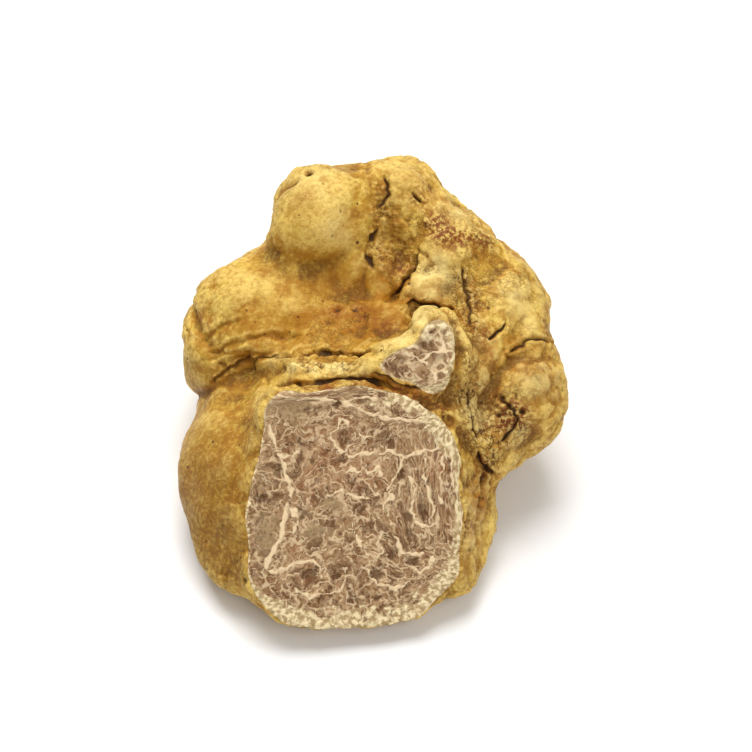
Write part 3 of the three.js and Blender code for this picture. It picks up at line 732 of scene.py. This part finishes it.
brown = blots(
    ((-17.9, -22.4, 7.2), 2.6), ((-21, -12, 9), 9, 0.85), ((-20.4, -17, 11), 6, 0.75),
    ((9.5, -22.5, 6), 2.5, 0.8), ((6.4, -25, 5), 1.6, 0.9), ((-21.6, -0.7, 14.1), 2.2, 0.9),
    ((-18.6, 0.4, 16.9), 1.8, 0.6), ((-22.5, 4, 12), 3, 0.6), ((8, 22, 4), 7, 0.5),
    ((-10, 22, 4), 6, 0.4), ((19, -6, 7), 4, 0.5), ((1.5, 17, 30.8), 1.8, 0.65),
    ((1.5, 15, 29), 2, 0.6), ((2.4, 13, 27.4), 1.6, 0.4), ((-0.4, 12.8, 26.4), 1.5, 0.7),
    ((-0.2, 10.6, 25.2), 1.2, 0.8), ((10.7, 7.6, 26.1), 1.4, 0.6), ((11.2, 5.6, 24.9), 1.5, 0.7),
    ((11.3, 3.5, 24.5), 1.6, 0.8), ((11.3, 0.8, 24), 1.6, 0.6), ((10.8, -5.5, 20.3), 1.8, 0.4),
    ((11, -7.2, 18.8), 1.8, 0.4), ((11.5, -9.6, 16.4), 1.8, 0.35), ((13.3, -11.4, 13), 1.8, 0.5),
    ((15.5, -7, 17), 2.4, 0.35))
pale = blots(
    ((-4.4, 12.9, 31.3), 1.8, 0.6), ((-5.8, 11.3, 29.6), 1.4, 0.5), ((-3.5, 11.8, 28.4), 1.4, 0.6),
    ((-8, 17.5, 33), 3, 0.6), ((4.5, 20, 32.4), 2.6, 0.35), ((10, 15.5, 29.6), 3, 0.7),
    ((4.5, -1, 27.2), 2.6), ((1.5, -3.8, 26.2), 2, 0.9), ((8.6, -2, 26.6), 1.8),
    ((-12.5, 0, 19.2), 1.4, 0.6), ((-10.2, -3, 21.4), 1.5), ((-7.5, -4.3, 22.8), 1.6),
    ((-4.6, -4.9, 23.4), 1.5), ((-2, -6.3, 24), 1.2, 0.8), ((7.3, 9.1, 27), 2, 0.9),
    ((8, 7.2, 25.8), 2), ((6, 7, 25), 1.8), ((1.2, 10, 25.3), 0.8, 0.9),
    ((17.3, 5.6, 25), 2.6, 0.8), ((19, 3, 22.5), 2, 0.4), ((-13.5, 8.4, 23.6), 3, 0.2),
    ((-14, -6, 18.8), 2.4, 0.5), ((16.8, -6.5, 18), 0.7, 0.9), ((18.8, -3.5, 19.2), 2.4, 0.6),
    ((13, -1, 22.8), 1.8, 0.4), ((11.9, -15.5, 10.5), 3, 0.9), ((11, -19, 8.5), 2.5, 0.9),
    ((20.5, -2.5, 18.8), 3, 0.5), ((11.6, -8, 17.8), 2.8), ((12.8, -5, 20.5), 2.2, 0.6),
    ((12, -2, 23), 2, 0.4), ((17.5, -8, 13.5), 2.4, 0.6))
# Painted shade: amber is also laid into the deep folds, by how far the skin closes in round them.
amber_and_fold_shade += 0.4 * smooth(far_fold, 0.25, 0.7)
crackled = np.clip(blots(
    ((10.9, 7.4, 26), 2, 0.8), ((11.2, 4.5, 24.7), 2), ((11.4, 1, 24), 2, 0.8),
    ((10.8, -5.5, 20.3), 2, 0.9), ((11, -7.2, 18.8), 2, 0.9), ((11.5, -9.6, 16.4), 2, 0.9),
    ((15.4, -7.8, 16), 2), ((13.2, -11.4, 13), 2, 0.8), ((1.5, 15.5, 29.3), 1.6, 0.8),
    ((0.8, 12, 26), 1.6, 0.8), ((-10, -3, 21.5), 1.5, 0.6), ((-7.6, -4.3, 22.6), 1.5, 0.9),
    ((-4.4, -5, 23.5), 1.5, 0.9), ((16.7, -7.6, 15.6), 2, 0.9), ((14.6, -9.9, 14.6), 1.8, 0.9),
    ((6.5, 5.5, 23.6), 1.4, 0.6), ((11, -4.5, 24), 1.6, 0.8), ((2, 26.8, 21), 3, 0.7),
    ((12.5, 23, 12.5), 3, 0.8), ((-8, 25, 16), 2.5, 0.6), ((23.8, 4.4, 13.5), 2.5, 0.6)), 0, 1)
stains_and_fold_shade = np.clip(np.stack([rust, amber_and_fold_shade, brown, pale], 1), 0, 1)

# Tints of the flesh: grey olive where the knife met the rind's underside, rose where it
# bruised.
olive_flesh = sum(spots_on_cut(cut_place, (
    ((-16.6, -4.8), (1.4, 3.2), 1), ((-12, 9.5), (2.6, 1.4), 1), ((-11, -5.1), (1.2, 1.3), 1),
    ((-8.6, -1.9), (1.2, 0.8), 1))))
rose_flesh = sum(spots_on_cut(cut_place, (
    ((-13.2, -6.7), (1.1, 1.1), 1), ((-8.5, 5), (3, 3), 1), ((-11, 1), (1.5, 3), 1),
    ((-5, 1), (3, 2), 1), ((4.5, 1), (2, 2), 1), ((-12.2, -10), (1.5, 1.2), 1),
    ((1.5, -9.5), (2, 1), 1))))

# What the material reads of each point.
KINDS = {1: ("FLOAT", "value"), 3: ("FLOAT_VECTOR", "vector"), 4: ("FLOAT_COLOR", "color")}
for name, values in (
        ("flesh", flesh_depth), ("rim", flesh_depth / rim_width), ("vein", vein),
        ("pocket", pocket), ("olive_flesh", olive_flesh), ("rose_flesh", rose_flesh),
        ("relief", relief), ("marble", marble), ("stains_and_fold_shade", stains_and_fold_shade), ("crack", crack_mark),
        ("close_fold", close_fold), ("far_fold", far_fold), ("knotty", knotty),
        ("crackled", crackled)):
    kind, field = KINDS[values[0].size]
    made = body_mesh.attributes.new(name, kind, "POINT")
    made.data.foreach_set(field, np.ascontiguousarray(values, np.float32).ravel())

# The mesh goes to metres, where the body's solid is.
low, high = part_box("truffle")
middle = (points.min(0) + points.max(0)) / 2
points = points * MM
points[:, 0] += (low.x + high.x) / 2 - middle[0] * MM
points[:, 1] += (low.y + high.y) / 2 - middle[1] * MM
body_mesh.vertices.foreach_set("co", points.astype(np.float32).ravel())
body_mesh.polygons.foreach_set("use_smooth", np.ones(len(body_mesh.polygons), bool))
body_mesh.update()


# --- the material: rind and marbled flesh ---

def material(name):
    """A new material, and its shader."""
    made = bpy.data.materials.new(name)
    made.use_nodes = True
    return made, made.node_tree.nodes["Principled BSDF"]


rind_and_flesh, shader = material("truffle_rind_and_flesh")
tree = rind_and_flesh.node_tree


def node(kind, inputs=None, out=0, **settings):
    """A shader node with its inputs linked or set; gives back one of its outputs."""
    made = tree.nodes.new("ShaderNode" + kind)
    for name, value in settings.items():
        setattr(made, name, value)
    for name, value in (inputs or {}).items():
        if isinstance(value, bpy.types.NodeSocket):
            tree.links.new(value, made.inputs[name])
        else:
            made.inputs[name].default_value = value
    return made.outputs[out]


def mixed(share, a, b):
    """From colour a to colour b by a share."""
    a, b = (value if isinstance(value, bpy.types.NodeSocket) else (*value, 1) for value in (a, b))
    return node("Mix", {0: share, 6: a, 7: b}, 2, data_type="RGBA")


def painted(ground, *coats):
    """A colour with coats laid over it in turn, each a share and a colour."""
    for share, colour in coats:
        ground = mixed(share, ground, colour)
    return ground


def ramp(value, low, high, bottom=0, top=1):
    """A soft step from bottom to top as the value goes from low to high."""
    return node("MapRange", {"Value": value, "From Min": low, "From Max": high, "To Min": bottom,
                             "To Max": top}, interpolation_type="SMOOTHSTEP")


def maths(kind, *values):
    return node("Math", dict(enumerate(values)), operation=kind)


def times(a, b):
    return maths("MULTIPLY", a, b)


def value_of(name, out="Fac"):
    return node("Attribute", out=out, attribute_name=name)


def grainy(where, scale, detail=3, rough=0.55, out="Fac"):
    return node("TexNoise", {"Vector": where, "Scale": scale, "Detail": detail,
                             "Roughness": rough}, out)


def meander(where, size, line):
    """Thin lines, where a drifting noise passes its middle."""
    off_middle = maths("ABSOLUTE", maths("SUBTRACT", grainy(where, size, 2), 0.5))
    return ramp(off_middle, line, line / 5)


def channels(colour):
    parts = node("SeparateColor", {"Color": colour}).node.outputs
    return parts["Red"], parts["Green"], parts["Blue"]


# Colours of the rind, from the ground up, then of the flesh.
OCHRE, STRAW, ORANGE = (0.45, 0.245, 0.026), (0.61, 0.375, 0.054), (0.52, 0.225, 0.022)
DARK_MOTTLE, PALE_MOTTLE = (0.36, 0.15, 0.014), (0.75, 0.515, 0.105)
DARK_FRECKLE, PALE_FRECKLE = (0.27, 0.105, 0.012), (0.83, 0.595, 0.155)
# The crest colour is a painted highlight. The fold, low spot and groove colours are painted shade,
# and the amber one is both a stain and painted shade.
CREST_HIGHLIGHT, PALE_RIND, FOLD_SHADE = (0.84, 0.6, 0.16), (0.87, 0.68, 0.255), (0.33, 0.13, 0.008)
AMBER_STAIN_AND_SHADE, BROWN, LOW_SPOT_SHADE = (0.335, 0.128, 0.005), (0.235, 0.1, 0.013), (0.24, 0.098, 0.011)
RUST, GROOVE_SHADE, CRINKLE = (0.2, 0.048, 0.01), (0.14, 0.058, 0.008), (0.17, 0.075, 0.012)
FLAKED, SPLIT, PORE = (0.72, 0.54, 0.22), (0.085, 0.034, 0.01), (0.11, 0.045, 0.01)
CRACK = (0.045, 0.018, 0.006)
TAUPE, PALE_TAUPE, ROSE = (0.2, 0.09, 0.036), (0.33, 0.178, 0.08), (0.31, 0.11, 0.045)
PALE_CELL, DARK_CELL = (0.47, 0.29, 0.138), (0.11, 0.047, 0.016)
PALE_GRAIN, DARK_GRAIN = (0.5, 0.32, 0.16), (0.115, 0.051, 0.019)
DARK_PATCH, OLIVE, POCKET = (0.115, 0.05, 0.018), (0.37, 0.27, 0.135), (0.11, 0.05, 0.018)
FINE_VEIN, MAIN_VEIN = (0.8, 0.6, 0.355), (0.82, 0.62, 0.37)
DULL_RIM, CREAM_RIM = (0.42, 0.285, 0.13), (0.91, 0.745, 0.44)

skin_place = node("Mapping", {"Vector": node("TexCoord", out="Object"), "Scale": (1 / MM,) * 3})
close, far = value_of("close_fold"), value_of("far_fold")
rust_stain, amber_stain_and_shade, brown_stain = channels(value_of("stains_and_fold_shade", "Color"))
pale_stain = value_of("stains_and_fold_shade", "Alpha")

# Rind: broad patches, small mottling, then a painted highlight on the crests, painted shade
# in the folds, stains, painted shade in low spots and grooves, pores and cracks.
mottling = grainy(skin_place, 0.5, 5, 0.6)
fine = grainy(skin_place, 1.9, 4, 0.65)
# Painted highlight: the crests, where the skin bulges out, are made pale cream.
crest_highlight = times(ramp(close, -0.02, -0.13), ramp(fine, 0.65, 0.4, 0.4, 1))
# Painted shade: olive brown where the skin lies deep in a fold, less so on pale stains.
fold = times(ramp(far, 0.25, 0.85), ramp(mottling, 0.35, 0.6, 0.45, 1))
fold = times(fold, ramp(pale_stain, 0, 1, 1, 0.3))
# Painted shade: darker where the relief is sunk.
low_spot_shade = times(ramp(value_of("relief"), -0.12, -0.45), ramp(fine, 0.35, 0.6, 0.35, 1))
# Painted shade: dark brown in the small hollows of the skin.
groove = times(ramp(close, 0.05, 0.22), ramp(fine, 0.35, 0.6, 0.5, 1))
rind = painted(
    mixed(ramp(grainy(skin_place, 0.14), 0.36, 0.62), OCHRE, STRAW),
    (ramp(grainy(skin_place, 0.27), 0.48, 0.66, 0, 0.5), ORANGE),
    (ramp(mottling, 0.46, 0.66, 0, 0.8), DARK_MOTTLE),
    (ramp(mottling, 0.47, 0.32, 0, 0.75), PALE_MOTTLE),
    (ramp(fine, 0.5, 0.68, 0, 0.5), DARK_FRECKLE),
    (ramp(fine, 0.47, 0.33, 0, 0.45), PALE_FRECKLE),
    (times(crest_highlight, 0.65), CREST_HIGHLIGHT),
    (times(pale_stain, ramp(mottling, 0.62, 0.42, 0.3, 0.9)), PALE_RIND),
    (times(fold, 0.72), FOLD_SHADE),
    # Amber stains, and amber as painted shade in the deep folds.
    (times(amber_stain_and_shade, ramp(mottling, 0.38, 0.58, 0.55, 0.92)), AMBER_STAIN_AND_SHADE),
    (times(brown_stain, ramp(fine, 0.35, 0.6, 0.45, 0.85)), BROWN),
    (times(low_spot_shade, 0.5), LOW_SPOT_SHADE),
    (times(rust_stain, ramp(fine, 0.42, 0.56, 0.12, 0.95)), RUST),
    (times(groove, 0.7), GROOVE_SHADE))

# Crinkles in two sizes, and a net of small dark splits where the rind is crackled.
crinkle = maths("MAXIMUM", meander(skin_place, 0.42, 0.022), meander(skin_place, 1.05, 0.035))
crinkle = times(crinkle, ramp(grainy(skin_place, 0.3, 1), 0.42, 0.6))
crinkle = times(crinkle, ramp(value_of("knotty"), 0, 0.8, 0.3, 1))
crackled = value_of("crackled")
splits = times(meander(skin_place, 0.9, 0.045), ramp(fine, 0.4, 0.52, 0.25, 1))
splits = times(splits, crackled)
pores = node("TexVoronoi", {"Vector": skin_place, "Scale": 0.95}, "Distance")
pore_dice, pore_strength, _ = channels(pores.node.outputs["Color"])
pore_size = ramp(pore_dice, 0.62, 1, 0, 0.24)
pore = times(ramp(maths("SUBTRACT", pores, pore_size), 0, -0.06),
             ramp(pore_strength, 0, 1, 0.25, 0.9))
rind = painted(
    rind, (times(crinkle, 0.4), CRINKLE),
    (times(crackled, ramp(fine, 0.5, 0.35, 0, 0.5)), FLAKED), (times(splits, 0.9), SPLIT),
    (pore, PORE), (ramp(value_of("crack"), 0.25, 0.8, 0, 0.92), CRACK))

# Flesh: taupe cells in two sizes with cream veins round the larger, and between them
# squiggles and fine threads. Three drifts, from slow to quick, bend them all.
marble_place = value_of("marble", "Vector")
bent_place = marble_place
for size, reach in ((0.22, 4.5), (0.75, 2.4), (2.2, 0.55)):
    sway = node("VectorMath", {0: grainy(marble_place, size, 1, out="Color"), 1: (0.5,) * 3},
                operation="SUBTRACT")
    bent_place = node("VectorMath", {0: sway, 1: (reach,) * 3, 2: bent_place},
                      operation="MULTIPLY_ADD")


def flesh_cells(scale):
    """Cells of the flesh: the distance to their edges, and two random numbers for each."""
    inputs = {"Vector": bent_place, "Scale": scale}
    colour = node("TexVoronoi", inputs, "Color", voronoi_dimensions="2D")
    return (node("TexVoronoi", inputs, voronoi_dimensions="2D", feature="DISTANCE_TO_EDGE"),
            *channels(colour)[:2])


big_cells, _, big_dice = flesh_cells(0.5)
small_cells, pale_dice, dark_dice = flesh_cells(1.25)
fade = grainy(marble_place, 0.28, 2)
uneven = grainy(marble_place, 0.9, 2)
flesh_grain = grainy(marble_place, 2.4, 4, 0.7)
pocket, plain = value_of("pocket"), value_of("olive_flesh")
taupe = painted(
    mixed(ramp(fade, 0.38, 0.62), TAUPE, PALE_TAUPE),
    (times(value_of("rose_flesh"), 0.55), ROSE),
    (ramp(pale_dice, 0.5, 1, 0, 0.55), PALE_CELL),
    (times(ramp(dark_dice, 0.5, 0.85, 0, 0.85), ramp(small_cells, 0.03, 0.25)), DARK_CELL),
    (ramp(flesh_grain, 0.48, 0.66, 0, 0.6), PALE_GRAIN),
    (ramp(flesh_grain, 0.5, 0.34, 0, 0.75), DARK_GRAIN),
    (times(ramp(big_dice, 0.5, 0.75), ramp(big_cells, 0.1, 0.35, 0, 0.7)), DARK_PATCH),
    (times(plain, ramp(flesh_grain, 0.35, 0.6, 0.25, 0.8)), OLIVE),
    (ramp(pocket, 0.15, 0.6, 0, 0.85), POCKET))
broken = ramp(grainy(marble_place, 0.6, 2), 0.42, 0.56)
veins = times(ramp(big_cells, ramp(uneven, 0.35, 0.65, 0.06, 0.2), 0.02),
              ramp(broken, 0, 1, 0.2, 0.9))
squiggles = times(meander(bent_place, 0.55, 0.05), ramp(broken, 1, 0, 0.25, 0.85))
threads = times(meander(bent_place, 1.5, 0.05), ramp(fade, 0.4, 0.6, 0.1, 0.4))
marbling = maths("MAXIMUM", maths("MAXIMUM", veins, squiggles), threads)
marbling = times(marbling, ramp(maths("MAXIMUM", pocket, plain), 0.9, 0.2, 0.25, 1))
marbling = times(marbling, ramp(flesh_grain, 0.66, 0.4, 0.55, 1))
main_vein = times(ramp(value_of("vein"), 1.05, 0.4), ramp(uneven, 0.3, 0.5, 0.5, 1))
rim_edge = maths("ADD", value_of("rim"), times(maths("SUBTRACT", uneven, 0.5), 3.5))
rim_tone = mixed(ramp(grainy(marble_place, 1.5), 0.4, 0.6), DULL_RIM, CREAM_RIM)
flesh = painted(taupe, (times(marbling, 0.85), FINE_VEIN), (main_vein, MAIN_VEIN),
                (ramp(rim_edge, 1.7, 1.1, 0, 0.92), rim_tone))

# The cut shows flesh from just under the rind inwards.
is_flesh = ramp(value_of("flesh"), 0.24, 0.34)


def rind_or_flesh(rind_value, flesh_value):
    return node("Mix", {0: is_flesh, 2: rind_value, 3: flesh_value}, data_type="FLOAT")


rind_height = maths("ADD", times(fine, 0.9), times(mottling, 0.8))
for mark, deep in ((crinkle, 0.35), (pore, 0.4), (splits, 0.7)):
    rind_height = maths("SUBTRACT", rind_height, times(mark, deep))
flesh_height = maths("ADD", times(maths("MAXIMUM", marbling, main_vein), 0.4),
                     times(flesh_grain, 0.8))
for name, value in (
        ("Base Color", mixed(is_flesh, rind, flesh)),
        ("Roughness", rind_or_flesh(ramp(mottling, 0.3, 0.7, 0.46, 0.64),
                                    ramp(marbling, 0, 1, 0.68, 0.55))),
        ("Normal", node("Bump", {"Height": rind_or_flesh(rind_height, flesh_height),
                                 "Strength": 0.8, "Distance": 0.22 * MM}))):
    tree.links.new(value, shader.inputs[name])
shader.inputs["Specular IOR Level"].default_value = 0.15


def added(name, data):
    """A new object in the scene."""
    made = bpy.data.objects.new(name, data)
    bpy.context.scene.collection.objects.link(made)
    return made


truffle = added("white_truffle", body_mesh)
body_mesh.materials.append(rind_and_flesh)
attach(truffle, "root")
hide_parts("truffle")


# ======================================================================================
# The studio
# The truffle lies on a plain pale floor, under a soft key light from above and behind and
# a weaker one in front, and a camera looks down on its cut.
# ======================================================================================

FLOOR_REACH = 3  # metres from the middle to each side
floor_mesh = bpy.data.meshes.new("floor")
corners = [(x * FLOOR_REACH, y * FLOOR_REACH, 0) for x, y in ((-1, -1), (1, -1), (1, 1), (-1, 1))]
floor_mesh.from_pydata(corners, [], [(0, 1, 2, 3)])
floor_paint, floor_shader = material("floor_paint")
floor_shader.inputs["Base Color"].default_value = (0.9, 0.9, 0.9, 1)
floor_shader.inputs["Roughness"].default_value = 0.6
floor_mesh.materials.append(floor_paint)
added("floor", floor_mesh)

studio = bpy.data.worlds.new("studio")
studio.use_nodes = True
background = studio.node_tree.nodes["Background"]
background.inputs["Color"].default_value = (1, 0.99, 0.97, 1)
background.inputs["Strength"].default_value = 0.34
bpy.context.scene.world = studio

body_middle = (cad_low + cad_high) / 2
LIGHTS = [  # name, side, watts, place; in metres
    ("key", 0.42, 4.0, (-0.07, 0.22, 0.55)),
    ("front", 0.45, 1.35, (0.2, -0.38, 0.42)),
]
for name, side, watts, place in LIGHTS:
    lamp = bpy.data.lights.new(name, "AREA")
    lamp.size, lamp.energy = side, watts
    light = added(name, lamp)
    light.location = place
    light.rotation_euler = (body_middle - Vector(place)).to_track_quat("-Z", "Y").to_euler()

bpy.context.scene.view_settings.view_transform = "Standard"

CAMERA_AT = (-0.01861, -0.16078, 0.19039)  # metres
CAMERA_UP_TILT = math.radians(41)  # how far the camera's up leans back from upright
lens = bpy.data.cameras.new("camera")
lens.lens, lens.sensor_width = 92, 36  # mm
camera = added("camera", lens)
camera.location = CAMERA_AT
back = (Vector(CAMERA_AT) - body_middle).normalized()
camera_right = Vector((0, math.sin(CAMERA_UP_TILT), math.cos(CAMERA_UP_TILT))).cross(back)
camera_right.normalize()
camera_axes = Matrix((camera_right, back.cross(camera_right), back)).transposed()
camera.rotation_euler = camera_axes.to_euler()
bpy.context.scene.camera = camera
